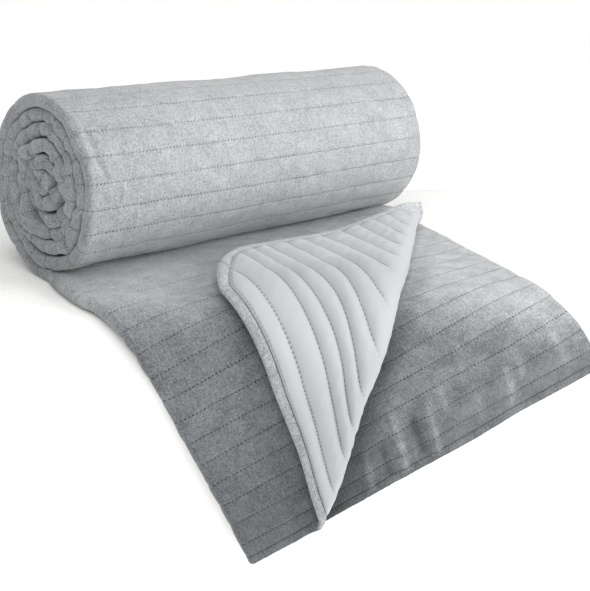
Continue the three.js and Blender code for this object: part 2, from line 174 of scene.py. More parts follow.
# The cloth is in millimetres: across is along the roll, and down is along the strip to its hem.
ROLL_FOOT = np.array([-330.0, -130.0, 418.0])  # the left end of the line on which the roll rests
ROLL_SWING = np.radians(25.3)  # how far the roll is turned from the bench's front
ROLL_RADIUS = 105.0
ROLL_LENGTH = 568.0
ROLL_TURNS = 5.95
TURN_PITCH = 17.7  # from one turn to the next
OUTER_GAIN = 19.5  # how much wider the outermost turn is at the foot than at the top
OUTER_TURNS = 1.04  # the turns that are seen from outside, with finer rows
OUTER_WIND = 6.6  # the same in radians, with a little to spare
STRIP_THICK = 16.2  # the three layers, pressed in the roll
END_CLEAR = 1.5  # how far the turns stay in from the roll's full length
END_STEPS = 9  # points round each half-round end of a turn
INNER_STEP = 2.6  # from row to row along the hidden turns
INNER_OVERLAP = 3.0  # how far the outermost turn and the next ones run over each other
QUILT_PITCH = 30.4  # from one stitch line to the next
STITCH_MM = 4.9  # from one needle hole to the next
FIRST_LINE = -0.964  # the angle of a stitch line on the roll's front, below its axis
ROWS_FROM_LINE = [0, 1.2, 3.2, 7.0, 11.2, 15.2, 19.2, 23.4, 27.2, 29.2]  # closest at the line
HEM_WIDTH = 12.0  # the velvet that is turned over the raw edge
HEM_FAR = 60.0  # the hem is never counted as further off than this
ROLL_CREASES = [  # from along, from length, to along, to length, half width, height
    (21, -150, 31, -126, 2.6, -3.0),
    (14, -150, 24, -126, 3.6, 1.8),
    (20, -180, 22, -156, 3.4, -1.8),
    (13, -180, 14, -156, 4.2, 1.4),
    (46, -114, 45, -97, 1.8, -2.2),
    (51, -114, 50, -97, 2.6, 1.0),
    (34, -118, 36, -94, 5.0, 1.2),
    (66, -86, 67, -64, 3.0, -1.5),
    (72, -88, 73, -62, 3.6, 1.0),
    (128, -92, 130, -72, 3.4, -1.0),
    (110, -150, 128, -126, 7.0, 1.2),
    (165, -118, 190, -100, 8.0, 1.1),
    (250, -168, 262, -140, 7.0, -1.0),
    (330, -100, 352, -76, 9.0, 1.2),
    (430, -60, 438, -36, 6.0, -1.1),
    (505, -150, 520, -118, 6.0, 1.3),
]
VELVET_LIGHT = "b9babb"
VELVET_DARK = "808486"
PAINTED_SHADE_CAST = "eef6fc"  # the cooler cast that goes with the painted shade
PILE_SHEEN = "ebebeb"
PILE_RELIEF = 0.0007  # metres
VELVET_GRAINS = [  # millimetres across and down, detail, how strong
    (1.6, 1.6, 2.0, 3.0),  # the two-tone fibres are 0.3 mm thick, drawn coarser so that they show
    (2.4, 16.0, 2.0, 1.0),  # streaks of the warp, as long as a yarn's thicker places
    (16.0, 2.4, 2.0, 0.7),  # streaks of the weft
    (28.0, 28.0, 3.0, 0.9),  # broad patches where the pile was brushed by hand
]
VELVET_SEAM = [  # how far each goes at full depth, and where it ends
    (0.5, 1.4),  # a needle hole, across the seam
    (0.6, 1.5),  # a needle hole, along the seam
    (0.3, 2.6),  # the groove that the thread draws
]
TENSION_MM = 50.0  # how far apart the places lie where the thread was pulled tight
SLACK_HOLE = 0.6  # how deep a needle hole is where the thread is slack
HOLE_PAINTED_SHADE = 0.8  # the share of its brightness that the velvet loses to painted shade in a needle hole
# The painted shade in the groove that the thread draws.
GROOVE_PAINTED_SHADE = 0.05
CONTRAST = 1.6  # of the two greys, and how much of it the painted light takes away
CONTRAST_LOSS = 0.85
CONTRAST_LEAST = 0.75


def ease(low, high, x):
    """A smooth step from 0 at low to 1 at high."""
    t = np.clip((x - low) / (high - low), 0, 1)
    return t * t * (3 - 2 * t)


def ripple(x, y, wave, seed):
    """An uneven surface about 1 high either way, with bumps about wave wide."""
    rng = np.random.default_rng(seed)
    total = 0
    for _ in range(9):
        turn, phase = rng.uniform(0, np.pi), rng.uniform(0, 2 * np.pi)
        stretch = rng.uniform(0.7, 1.6)
        along_wave = x * np.cos(turn) + y * np.sin(turn)
        total = total + np.sin(2 * np.pi * stretch * along_wave / wave + phase)
    return total / 3


def plan_point(across, down):
    """A place on the bench's level top, from its distances across and down the cloth."""
    x = ROLL_FOOT[0] + across * np.cos(ROLL_SWING) + down * np.sin(ROLL_SWING)
    y = ROLL_FOOT[1] + across * np.sin(ROLL_SWING) - down * np.cos(ROLL_SWING)
    return x, y


def from_line(length):
    """How far a place down the cloth is from the nearest stitch line."""
    return np.abs((length / QUILT_PITCH + 0.5) % 1 - 0.5) * QUILT_PITCH


def drawn_in(length):
    """How far the stitches draw the cloth in: a narrow nick in a wider groove."""
    d = from_line(length)
    return 0.4 * np.exp(-d / 1.2) + 0.45 * np.exp(-d / 6.0)


def raised(creases, across, down):
    """The height that a table of creases adds, each as wide and as high as its row says."""
    height = 0
    for from_across, from_down, to_across, to_down, wide, high in creases:
        run = np.array([to_across - from_across, to_down - from_down])
        share = ((across - from_across) * run[0] + (down - from_down) * run[1]) / (run @ run)
        near = np.clip(share, 0, 1)
        off = np.hypot(across - from_across - near * run[0], down - from_down - near * run[1])
        height = height + high * np.exp(-(off / wide) ** 2)
    return height


def grid_faces(rows, columns, start, wrap=False):
    """The four-sided faces of a grid of points, closed round its rows if wrap is set."""
    count = columns if wrap else columns - 1
    r, c = np.meshgrid(np.arange(rows - 1), np.arange(count), indexing="ij")
    n = (c + 1) % columns
    corners = [r * columns + c, (r + 1) * columns + c, (r + 1) * columns + n, r * columns + n]
    return start + np.stack([k.ravel() for k in corners], axis=1)


def rows_at_lines(line, last):
    """Rows down the cloth from one stitch line to past a last place, closest at the lines."""
    rows = []
    while line < last:
        rows += [line + step for step in ROWS_FROM_LINE]
        line += QUILT_PITCH
    return rows


def roll_reach(wind):
    """How far out the winding lies after an angle of wind, from under the roll and up its back."""
    turns = np.floor(wind / (2 * np.pi) + 1e-9)
    angle = 1.5 * np.pi - (wind - 2 * np.pi * turns)
    reach = ROLL_RADIUS + OUTER_GAIN * ease(np.radians(100), np.radians(270), angle)
    to_bench = (ROLL_RADIUS + TURN_PITCH) / np.maximum(-np.sin(angle), 0.1)
    to_bench = np.where(np.sin(angle) < -0.5, to_bench, 1e3)
    return np.where(turns < 1, np.minimum(reach, to_bench), reach) - TURN_PITCH * turns


# How far out the strip lies at each angle, and how much of it is wound, from just before the foot.
wind_table = np.linspace(-0.3, 2 * np.pi * ROLL_TURNS, 24000)
reach_table = roll_reach(np.maximum(wind_table, 0))
wound = (reach_table[1:] + reach_table[:-1]) / 2 * np.diff(wind_table)
length_table = np.concatenate([[0], np.cumsum(wound)])
length_table -= np.interp(1.5 * np.pi - FIRST_LINE, wind_table, length_table)


def winding(lengths, columns):
    """One stretch of the wound strip: its points, faces, place on the cloth, nap and tightness."""
    wind = np.interp(lengths, length_table, wind_table)[:, None]
    length = lengths[:, None]
    reach = np.interp(wind, wind_table, reach_table)
    half = STRIP_THICK / 2
    end_turn = np.linspace(0, np.pi, END_STEPS + 2)[1:-1][None, :]

    # The inner turns are less even. Their ends tuck in at each seam and are crushed between seams.
    inner = np.clip(wind / (2 * np.pi) - 0.8, 0, 5)  # how many turns lie over this one
    inside = np.clip(inner, 0, 1)
    reach = reach + 2.6 * inside * ripple(reach * np.cos(wind), reach * np.sin(wind), 85, seed=13)
    tuck = 0.35 + ease(-0.4, 1.2, ripple(length, 0, 75, seed=11))
    tuck = np.exp(-from_line(length) / 4.5) * tuck * (0.4 + 0.6 * inside)
    crush = inside * ripple(length, 0, 23, seed=12)
    shove = 1.0 + 1.5 * np.minimum(inner, 2.5)
    left = END_CLEAR + half + shove * ripple(length, 0, 150, seed=3)
    left = left + 1.2 * inner * ripple(length, 0, 90, seed=4)
    left = left + (1.4 + 1.6 * inside) * tuck + 1.2 * crush
    right = ROLL_LENGTH - END_CLEAR - half + shove * ripple(length, 0, 140, seed=5)
    right = right + 0.5 * inner * ripple(length, 0, 41, seed=6) - 3.5 * inside - 1.2 * tuck

    # Round the strip: its face, its right end, its back, and its left end with finer rumples.
    face = left + (right - left) * columns[None, :]
    bulge = half * (0.78 + 0.14 * ripple(length, 0, 120, seed=10)) * (1 - 0.25 * tuck)
    rumple = 0.55 * ripple(length, 9 * end_turn, 15, seed=14) * np.clip(0.3 + inner, 0, 1)
    right_along = right + bulge * np.sin(end_turn)
    left_along = left - (bulge + rumple) * np.sin(end_turn)
    along = np.concatenate([face, right_along, face[:, ::-1], left_along], axis=1)
    creased = np.where(wind < OUTER_WIND, raised(ROLL_CREASES, along, length), 0)
    dip = drawn_in(length)
    uneven = 0.45 * ripple(face, length, 46, seed=7) + 0.9 * ripple(face, length, 190, seed=8)
    pucker = 0.28 * ripple(face * 2.2, length, 21, seed=9) * np.exp(-from_line(length) / 6)
    relief = uneven + pucker + creased[:, :len(columns)]
    outer = reach - dip + np.where(wind < OUTER_WIND, relief, 0)
    back = reach - STRIP_THICK + 0.4 * dip + 0 * face
    rim = reach - half + 0.9 * crush * inside
    pinch = (half + 0.35) * (1 - 0.22 * tuck) * np.cos(end_turn)
    radius = np.concatenate([outer, rim + pinch, back[:, ::-1], rim - pinch], axis=1)
    angle = 1.5 * np.pi - wind
    x, y = plan_point(along, radius * np.cos(angle))
    z = np.maximum(ROLL_FOOT[2] + ROLL_RADIUS + radius * np.sin(angle), ROLL_FOOT[2] - TURN_PITCH)
    rows, around = along.shape
    points = np.stack([x, y, z], axis=2).reshape(-1, 3)
    faces = grid_faces(rows, around, 0, wrap=True).tolist()
    faces += [list(range(around)), list(range((rows - 1) * around, rows * around))[::-1]]

    # The place on the cloth. Painted light makes the pile pale on the roll's outside, painted shade
    # dark down in its ends.
    round_end = half * end_turn + 0 * length
    over = np.concatenate([face, right + round_end, face[:, ::-1], left - round_end], axis=1)
    cloth = np.stack([over, length + 0 * along, 0 * along + HEM_FAR], axis=2)
    facing = [np.ones_like(face), 1 - np.sin(end_turn) + 0 * length]
    facing = np.concatenate(facing + facing, axis=1)
    # Painted light towards the roll's right, painted shade at its left, and painted light and shade
    # on the creases.
    painted_light_sweep = 0.04 * ease(230, 520, along) + 0.2 * ease(300, 520, along) * ease(-85, -15, length)
    painted_light_sweep = painted_light_sweep - 0.12 * ease(190, 20, along)
    tone_and_painted_light = 0.62 + (0.38 + painted_light_sweep + 0.06 * creased) * facing
    tight = (0.65 + 0.35 * ease(-150, 0, length) + 0 * along) * (0.8 + 0.2 * (facing > 0.99))
    return points, faces, cloth.reshape(-1, 3), tone_and_painted_light.ravel(), tight.ravel()


def sewn_seams(tree, cloth, depth, tight, seam_sizes, hem_seam, hem_faint):
    """Needle holes and the drawn groove along the channels' seams and the hem's fainter one."""
    along, down, to_hem = add_node(tree, "ShaderNodeSeparateXYZ", {"Vector": cloth}).outputs
    channel = add_node(tree, "ShaderNodeMath", {0: down, 1: QUILT_PITCH / 2}, operation="PINGPONG")
    stitch = add_node(tree, "ShaderNodeMath", {0: along, 1: STITCH_MM / 2}, operation="PINGPONG")
    hem = add_node(tree, "ShaderNodeMath", {0: to_hem, 1: hem_seam}, operation="SUBTRACT")
    hem = add_node(tree, "ShaderNodeMath", {0: hem}, operation="ABSOLUTE")
    hem = add_node(tree, "ShaderNodeMath", {0: hem, 1: hem_faint}, operation="ADD")
    seam = add_node(tree, "ShaderNodeMath", {0: channel, 1: hem}, operation="MINIMUM")
    hole_across, hole_along, groove = [
        add_node(
            tree,
            "ShaderNodeMapRange",
            {"Value": distance, "From Min": full, "From Max": gone, "To Min": 1.0, "To Max": 0.0},
            interpolation_type="SMOOTHSTEP",
        )
        for distance, (full, gone) in zip((seam, stitch, seam), seam_sizes)
    ]
    hole = add_node(tree, "ShaderNodeMath", {0: hole_across, 1: hole_along}, operation="MULTIPLY")
    hole = add_node(tree, "ShaderNodeMath", {0: hole, 1: depth}, operation="MULTIPLY")
    groove = add_node(tree, "ShaderNodeMath", {0: groove, 1: tight}, operation="MULTIPLY")
    return hole, groove


def heathered_velvet():
    """Short pile of two greys: matt face on, paler at a grazing angle, with painted light and
    shade, and painted shade in its needle holes.
    """
    material, tree, velvet = new_material("heathered grey velvet")
    cloth = add_node(tree, "ShaderNodeAttribute", attribute_name="cloth_mm").outputs["Vector"]
    tone_and_painted_light = add_node(tree, "ShaderNodeAttribute", attribute_name="tone_and_painted_light").outputs["Fac"]
    tight = add_node(tree, "ShaderNodeAttribute", attribute_name="tight").outputs["Fac"]

    # The needle's holes are deeper where the thread was pulled tighter.
    tension = add_node(
        tree,
        "ShaderNodeTexNoise",
        {"Vector": cloth, "Scale": 1 / TENSION_MM, "Detail": 2.0},
    )
    depth = add_node(
        tree,
        "ShaderNodeMapRange",
        {"Value": tension, "From Min": 0.35, "From Max": 0.6, "To Min": SLACK_HOLE, "To Max": 1.0},
        interpolation_type="SMOOTHSTEP",
    )
    depth = add_node(tree, "ShaderNodeMath", {0: depth, 1: tight}, operation="MULTIPLY")
    hole, groove = sewn_seams(tree, cloth, depth, tight, VELVET_SEAM, HEM_WIDTH, hem_faint=0.35)

    # The two greys, mixed by the grains. They show more where there is more painted shade.
    grains = []
    uneven = -0.5 * sum(gain for *_, gain in VELVET_GRAINS)
    for wide, long, detail, gain in VELVET_GRAINS:
        stretch = (1 / wide, 1 / long, 1 / wide if wide == long else 0.0)
        here = add_node(tree, "ShaderNodeMapping", {"Vector": cloth, "Scale": stretch})
        grains.append(add_node(
            tree,
            "ShaderNodeTexNoise",
            {"Vector": here, "Scale": 1.0, "Detail": detail, "Roughness": 0.7},
        ))
        uneven = add_node(
            tree,
            "ShaderNodeMath",
            {0: grains[-1], 1: gain, 2: uneven},
            operation="MULTIPLY_ADD",
        )
    contrast = add_node(
        tree,
        "ShaderNodeMath",
        {0: tone_and_painted_light, 1: -CONTRAST_LOSS, 2: CONTRAST},
        operation="MULTIPLY_ADD",
    )
    contrast = add_node(
        tree,
        "ShaderNodeMath",
        {0: contrast, 1: CONTRAST_LEAST},
        operation="MAXIMUM",
    )
    tone = add_node(
        tree,
        "ShaderNodeMath",
        {0: uneven, 1: contrast, 2: 0.5},
        operation="MULTIPLY_ADD",
    )
    greys = add_node(
        tree,
        "ShaderNodeMix",
        {"Factor": tone, "A": linear(VELVET_DARK), "B": linear(VELVET_LIGHT)},
        data_type="RGBA",
        clamp_factor=True,
    )

    # Painted light and shade make the cloth lighter or darker, and cooler where it is dark. The
    # grooves get a little painted shade, and the needle's holes the darkest painted shade.
    shade = tone_and_painted_light
    for mark, loss in ((groove, GROOVE_PAINTED_SHADE), (hole, HOLE_PAINTED_SHADE)):
        kept = add_node(
            tree,
            "ShaderNodeMath",
            {0: mark, 1: -loss, 2: 1.0},
            operation="MULTIPLY_ADD",
        )
        shade = add_node(tree, "ShaderNodeMath", {0: shade, 1: kept}, operation="MULTIPLY")
    cast = add_node(
        tree,
        "ShaderNodeMix",
        {"Factor": tone_and_painted_light, "A": linear(PAINTED_SHADE_CAST), "B": linear("ffffff")},
        data_type="RGBA",
        clamp_factor=True,
    )
    colour = add_node(tree, "ShaderNodeVectorMath", {0: greys, 1: cast}, operation="MULTIPLY")
    colour = add_node(tree, "ShaderNodeVectorMath", {0: colour, "Scale": shade}, operation="SCALE")
    height = add_node(tree, "ShaderNodeMath", {0: grains[0], 1: 0.8}, operation="MULTIPLY")
    height = add_node(tree, "ShaderNodeMath", {0: height, 1: hole}, operation="SUBTRACT")
    relief = {"Height": height, "Distance": PILE_RELIEF, "Strength": 0.8}
    feed(tree, velvet, {
        "Base Color": colour,
        "Normal": add_node(tree, "ShaderNodeBump", relief),
        "Roughness": 0.95,
        "Specular IOR Level": 0.15,
        "Sheen Weight": 0.35,
        "Sheen Roughness": 0.55,
        "Sheen Tint": linear(PILE_SHEEN),
    })
    return material


def add_cloth(name, points, faces, cloth, tone_and_painted_light, tight, material, node, slot):
    """A piece of cloth with each point's place on it, its tone with painted light and shade, and
    its stitches' pull.
    """
    piece = add_piece(name, points / 1000, faces, material, node)
    for label, kind, key, values in (
        ("cloth_mm", "FLOAT_VECTOR", "vector", cloth),
        ("tone_and_painted_light", "FLOAT", "value", tone_and_painted_light),
        ("tight", "FLOAT", "value", tight),
    ):
        attribute = piece.data.attributes.new(label, kind, "POINT")
        attribute.data.foreach_set(key, np.asarray(values, np.float32).ravel())
    return piece


velvet = heathered_velvet()
outer_end = np.interp(2 * np.pi * OUTER_TURNS, wind_table, length_table)
outer_start = np.ceil(length_table[0] / QUILT_PITCH) * QUILT_PITCH
outer_lengths = np.array(rows_at_lines(outer_start, outer_end))
outer_lengths = outer_lengths[outer_lengths < outer_end]
outer_columns = np.unique(np.concatenate([
    np.linspace(0, 0.2, 44),
    np.linspace(0.2, 1, 62),
    [0.002, 0.992, 0.996],
]))
inner_lengths = np.arange(outer_end - INNER_OVERLAP, length_table[-1], INNER_STEP)
inner_columns = 0.5 - 0.5 * np.cos(np.pi * np.linspace(0, 1, 15))
outer_points, outer_faces, *outer_cloth = winding(outer_lengths, outer_columns)
inner_points, inner_faces, *inner_cloth = winding(inner_lengths, inner_columns)
roll = add_cloth(
    "bedspread_roll",
    np.concatenate([outer_points, inner_points]),
    outer_faces + [[i + len(outer_points) for i in face] for face in inner_faces],
    *[np.concatenate(pair) for pair in zip(outer_cloth, inner_cloth)],
    velvet,
    "quilted_panel",
    "quilted_velvet",
)

# The loose end of the same cloth: the strip of three layers, which hangs over the bench's front.
# The top layer's hem corner is turned back loosely, with its velvet face down on the layer below.
# The hem is the velvet turned over the raw edge and stitched down, with the corner cut round.

STRIP_LENGTH = 523.0  # from the roll's foot to the hem
STRIP_START = -24.0  # the strip's first rows lie hidden under the roll
LAYER_THICK = 4.6
LAYER_GAP = 1.2
BEND_START = -242.0  # how far forward, from the bench's middle, the cloth begins to bend down
BEND_RADIUS = 90.3  # the bench's rounded top edge, with the cloth over it
BEND_ANGLE = np.radians(86)
HEM_BAND = 31.2  # from the last channel's seam to the hem's end
HEM_BAND_ROWS = [0, 0.9, 2.0, 4.0, 7.0, 11.0, 15.0, 17.2, 18.6, 19.2]  # from that seam
HEM_ROWS = [0.5, 1.4, 3.0, 5.5, 8.0, 10.0, 11.3, 12.0]  # from the hem's own seam
FOLD_AT_HEM = (79.0, 523.0)  # the two ends of the slanting fold, across and down
FOLD_AT_EDGE = (551.0, 104.0)
FOLD_RADIUS = (8.0, 6.0, 4.0)  # at the hem, the swell between, and at the strip's edge
FLAP_LEAN = (0.164, 0.045)  # how much the turned corner's rows lean across, above and at its hem
FLAP_LIFT = 19.0  # how high its free edge lies on the layer below
TIP_AT = (556.0, 106.0)  # the turned corner's upper tip
TIP_REACH = 190.0  # how far off it begins to rise, and how high
TIP_LIFT = 13.0
TIP_PULL = 10.0  # how far it is pulled out, and which way across and down
TIP_WAY = (0.72, 0.69)
PULL_WIDTH = 30.0  # the pull grows over this much from the fold
DRAW_WIDTH = 110.0  # how far beside the fold the cloth is drawn in with it
TOP_COLUMNS = 56  # over the top layer, as far as the slanting fold
FLAP_COLUMNS = (8, 34, 6)  # round the fold, over the flap and over its hem
CUT_DOWN = np.array([438, 458, 468, 478, 488, 498, 508, 523], float)
CUT_BACK = np.array([0, 2, 5, 11, 21, 38, 57, 84], float)  # the hem's corner, cut round
LINING_SEAT = 0.6  # from the top layer's middle to the velvet's back, where the lining covers it
PAINTED_LIGHT_FLAT = 0.92  # the painted light on the flat part, and the painted shade that takes from it where it hangs
PAINTED_SHADE_HUNG = 0.51
PAINTED_SHADE_LOW = 0.13  # and the painted shade that takes from it again towards the hem
BORDER_PAINTED_LIGHT = 1.04  # the same for the hem that is turned to the lining's side
BORDER_PAINTED_SHADE = 0.24

# How far across the strip's edges lie, at stations down it: its two folded sides, the top layer's
# free edge and the slanting fold. The last row is how far the cloth by that fold is drawn in.
EDGE_DOWN = np.array([0, 35, 84, 140, 210, 279, 340, 401, 461, 523], float)
EDGE_LEFT = np.array([7, -4, -11, -11, -10, -9, -8, -7, -6, -6], float)
EDGE_RIGHT = np.array([561, 572, 579, 567, 547, 525, 506, 495, 497, 497], float)
EDGE_FREE = np.array([557, 560, 562, 555, 534, 515, 497, 490, 496, 497], float)
FOLD_LINE = np.array([698, 652, 587, 513, 420, 330, 247, 178, 124, 76], float)
FOLD_DRAW = np.array([0, 0, 0, 0, 1, 4.5, 11, 13.5, 3.5, 8], float)
STRIP_CREASES = [  # from across, from down, to across, to down, half width, height
    (270, 446, 264, 482, 4.0, 3.0),
    (264, 484, 260, 510, 4.6, 3.6),
    (223, 438, 219, 476, 4.4, 2.8),
    (220, 478, 214, 512, 5.0, 3.6),
    (176, 462, 172, 480, 4.2, 2.2),
    (172, 486, 166, 512, 4.8, 2.6),
    (377, 456, 375, 476, 4.8, 2.6),
    (375, 480, 370, 500, 5.0, 2.4),
    (398, 452, 394, 474, 4.2, 2.2),
    (290, 432, 288, 462, 4.2, 1.8),
    (246, 458, 243, 500, 6.0, -2.4),
    (198, 470, 194, 505, 6.0, -2.2),
    (330, 470, 326, 500, 5.0, 1.6),
    (450, 446, 453, 482, 5.4, 2.2),
    (330, 395, 322, 440, 7.0, 1.4),
    (420, 372, 412, 420, 8.0, -1.4),
    (20, 60, 60, 90, 14.0, 1.6),
    (110, 80, 150, 100, 18.0, 1.8),
]


def along_edge(values, down):
    """A smooth curve through one edge's distances along the roll's axis."""
    slope = np.gradient(values, EDGE_DOWN)
    i = np.clip(np.searchsorted(EDGE_DOWN, down, side="right") - 1, 0, len(values) - 2)
    span = EDGE_DOWN[i + 1] - EDGE_DOWN[i]
    t = (down - EDGE_DOWN[i]) / span
    rise = t * t * (3 - 2 * t)
    bend = (t - 1) ** 2 * t * slope[i] + (t - 1) * t * t * slope[i + 1]
    return values[i] * (1 - rise) + values[i + 1] * rise + bend * span


def drape(across, down, lift):
    """A point of the cloth as it lies on the bench and hangs over its front edge."""
    x, y = plan_point(across, down)
    past = np.maximum(0, BEND_START - y)
    angle = np.minimum(past / BEND_RADIUS, BEND_ANGLE)
    hang = np.maximum(0, past - BEND_RADIUS * BEND_ANGLE)
    lift = lift - 1.3 * ease(50, 10, down) * ease(6, -2, lift)  # pressed flat at the roll's foot
    radius = BEND_RADIUS + lift
    return np.stack([
        x,
        y + past - radius * np.sin(angle) - hang * np.cos(BEND_ANGLE),
        ROLL_FOOT[2] - BEND_RADIUS + radius * np.cos(angle) - hang * np.sin(BEND_ANGLE),
    ], axis=-1)


fold_span = np.array(FOLD_AT_EDGE) - np.array(FOLD_AT_HEM)
fold_along = fold_span / np.hypot(*fold_span)
fold_out = np.array([-fold_along[1], fold_along[0]])


def fold_across(down):
    """Where the slanting fold begins on each row."""
    return along_edge(FOLD_LINE, down)


def fold_radius(down):
    """How round the fold is on each row: tight at the strip's edge and looser towards the hem."""
    at_hem, swell, at_edge = FOLD_RADIUS
    share = np.clip((FOLD_AT_HEM[1] - down) / -fold_span[1], 0, 1)
    return at_hem * (1 - share) + at_edge * share + swell * np.sin(np.pi * share)


def turn_end(down):
    """Where the cloth has gone half round the fold and lies face down."""
    return fold_across(down) + np.pi * fold_radius(down) / fold_out[0]


def free_edge(down):
    """The top layer's free edge, with the hem's corner cut round."""
    return along_edge(EDGE_FREE, down) - np.interp(down, CUT_DOWN, CUT_BACK)


def inner_edge(down, inset):
    """The line that runs inside the cut edge at an even distance from it."""
    edges = [
        free_edge(down + inset * np.sin(turn)) - inset * np.cos(turn)
        for turn in np.radians(np.linspace(-90, 90, 25))
    ]
    return np.min(edges, axis=0)


def from_cut_edge(across, down):
    """How far a place on the top layer is from its cut edge, which goes round the hem's corner."""
    distance = np.minimum(free_edge(down) - across, STRIP_LENGTH - down)
    edge_down = np.linspace(400, STRIP_LENGTH, 160)
    for x, y in zip(free_edge(edge_down), edge_down):
        distance = np.minimum(distance, np.hypot(across - x, down - y))
    return distance


def fold_draw(across, down):
    """How far the cloth by the slanting fold is drawn in, from a fold that would run straight."""
    away = np.maximum(fold_across(down) - across, 0) + np.maximum(across - turn_end(down), 0)
    return along_edge(FOLD_DRAW, down) * ease(DRAW_WIDTH, 0, away)


def tip_reach(down):
    """How far the turned corner's upper tip is pulled out over the layers below, row by row."""
    return TIP_PULL * ease(96, 114, down) * ease(140, 124, down)


def from_tip(across, down):
    """How far a place is from the turned corner's upper tip."""
    return np.hypot(across - TIP_AT[0], down - TIP_AT[1])


def tip_rise(across, down):
    """How far the turned corner stands up off the layers below, near its upper tip."""
    return TIP_LIFT * ease(TIP_REACH, 0, from_tip(across, down))


def long_waves(across, down, row):
    """The slow rise and fall of the whole strip on its padding, flatter at its right side."""
    waves = 1.1 * ripple(across, down, 210, seed=21) + 0.5 * ripple(across, down, 90, seed=22)
    return waves * ease(30, 120, row) * (1 - 0.75 * ease(430, 530, across))


def turned_layer(across, down):
    """The middle of the top layer round its slanting fold, and which way its velvet faces."""
    radius = fold_radius(down)
    past = across - fold_across(down)
    angle = np.clip(past * fold_out[0] / radius, 0, np.pi)
    slide = np.minimum(np.maximum(past, 0), turn_end(down) - fold_across(down)) * fold_along[0]
    run = np.maximum(across - turn_end(down), 0)
    at_hem = ease(STRIP_LENGTH - 2 * HEM_BAND, STRIP_LENGTH, down)
    lean = FLAP_LEAN[0] + (FLAP_LEAN[1] - FLAP_LEAN[0]) * at_hem
    whole = np.maximum(1, free_edge(down) - turn_end(down))
    lift = -LAYER_THICK / 2 + radius * (1 - np.cos(angle))
    lift = lift + np.where(run > 0, (FLAP_LIFT - lift) * ease(0, 1, run / whole), 0)
    to_across = np.minimum(across, fold_across(down)) + slide * fold_along[0]
    to_across = to_across + fold_out[0] * radius * np.sin(angle) + run * lean
    to_down = down + slide * fold_along[1] + fold_out[1] * radius * np.sin(angle)
    to_down = to_down - run * np.sqrt(1 - lean ** 2)
    pull = tip_reach(down) * (0.3 + 1.2 * np.clip(past / PULL_WIDTH, 0, 1))
    to_across = to_across + TIP_WAY[0] * pull - fold_draw(across, down)
    to_down = to_down + TIP_WAY[1] * pull
    return to_across, to_down, lift + tip_rise(to_across, to_down), -np.sin(angle), np.cos(angle)


def flap_stations(down, corner_steps, flap_steps, hem_steps):
    """Where the turned corner's columns lie on each row, and where they start."""
    start = np.minimum(fold_across(down), free_edge(down) - 2 * HEM_WIDTH)
    whole = free_edge(down) - start
    hem = np.minimum(HEM_WIDTH, 0.35 * whole)
    seat = inner_edge(np.minimum(down, STRIP_LENGTH - HEM_WIDTH), HEM_WIDTH)
    seat = np.maximum(seat, start + whole - np.maximum(hem, 40 * (whole > 90)))
    seat = np.minimum(seat, start + whole - np.minimum(3, hem)) - start
    turned = np.minimum(turn_end(down) - fold_across(down), 0.4 * seat)
    corner = start + turned * np.linspace(0, 1, corner_steps + 1)[None, 1:]
    flap = start + turned + (seat - turned) * np.linspace(0, 1, flap_steps + 1)[None, 1:]
    hem_part = start + seat + (whole - seat) * np.linspace(0, 1, hem_steps + 1)[None, 1:]
    return start, np.concatenate([corner, flap, hem_part], axis=1)


def strip_rows(first, last):
    """Rows down the strip, close together at each stitch line and at the hem."""
    line = last - HEM_BAND - QUILT_PITCH * np.ceil((last - HEM_BAND - first) / QUILT_PITCH)
    rows = rows_at_lines(line, last - HEM_BAND - 1)
    rows += [last - HEM_BAND + step for step in HEM_BAND_ROWS]
    rows += [last - HEM_WIDTH + step for step in HEM_ROWS]
    return np.array([row for row in rows if row >= first])[:, None]


rows = strip_rows(STRIP_START, STRIP_LENGTH)
left, right = along_edge(EDGE_LEFT, rows), along_edge(EDGE_RIGHT, rows)
top, middle, bottom = [-LAYER_THICK / 2 - layer * (LAYER_THICK + LAYER_GAP) for layer in range(3)]
right_radius, left_radius = (middle - bottom) / 2, (top - bottom) / 2
right_centre = right - right_radius - LAYER_THICK / 2
left_centre = left + left_radius + LAYER_THICK / 2
flap_from, stations = flap_stations(rows, *FLAP_COLUMNS)


def leg(start, end, shares, lift, up):
    """A flat layer of the strip from one side to the other, with columns at shares of the way."""
    across = start + (end - start) * shares[None, :]
    return [across, rows + 0 * across, lift + 0 * across, 0 * across, up + 0 * across]


def side_fold(centre, radius, lift, steps, side, up):
    """The half turn of cloth between two layers."""
    angle = np.pi * np.linspace(0, 1, steps + 2)[None, 1:-1] + 0 * rows
    across = centre + side * radius * np.sin(angle)
    height = lift - up * radius * (1 - np.cos(angle))
    return [across, rows + 0 * across, height, side * np.sin(angle), up * np.cos(angle)]


# The layers in the order that the cloth runs: the middle, the bottom, and the top with its corner.
middle_shares = np.concatenate([np.linspace(0, 0.2, 4)[:-1], np.linspace(0.2, 1, 90)])
legs = [
    leg(left_centre + LAYER_THICK, right_centre, middle_shares, middle, 1),
    side_fold(right_centre, right_radius, middle, 5, 1, 1),
    leg(right_centre, left_centre, np.linspace(0, 1, 8), bottom, -1),
    side_fold(left_centre, left_radius, bottom, 7, -1, -1),
    leg(left_centre, flap_from, np.linspace(0, 1, TOP_COLUMNS), top, 1),
]
across, down, lift, out, up = [np.concatenate(kind, axis=1) for kind in zip(*legs)]
flap_across, flap_down, flap_lift, flap_out, flap_up = turned_layer(stations, rows + 0 * stations)
flat_columns = across.shape[1]
top_leg = np.arange(flat_columns) >= flat_columns - TOP_COLUMNS
cut_across = np.concatenate([across, stations], axis=1)
out_across = np.concatenate([out, flap_out * fold_out[0]], axis=1)
out_down = np.concatenate([0 * out, flap_out * fold_out[1]], axis=1)
across = across - fold_draw(across, rows) * top_leg
lift = lift + tip_rise(across, down) * top_leg
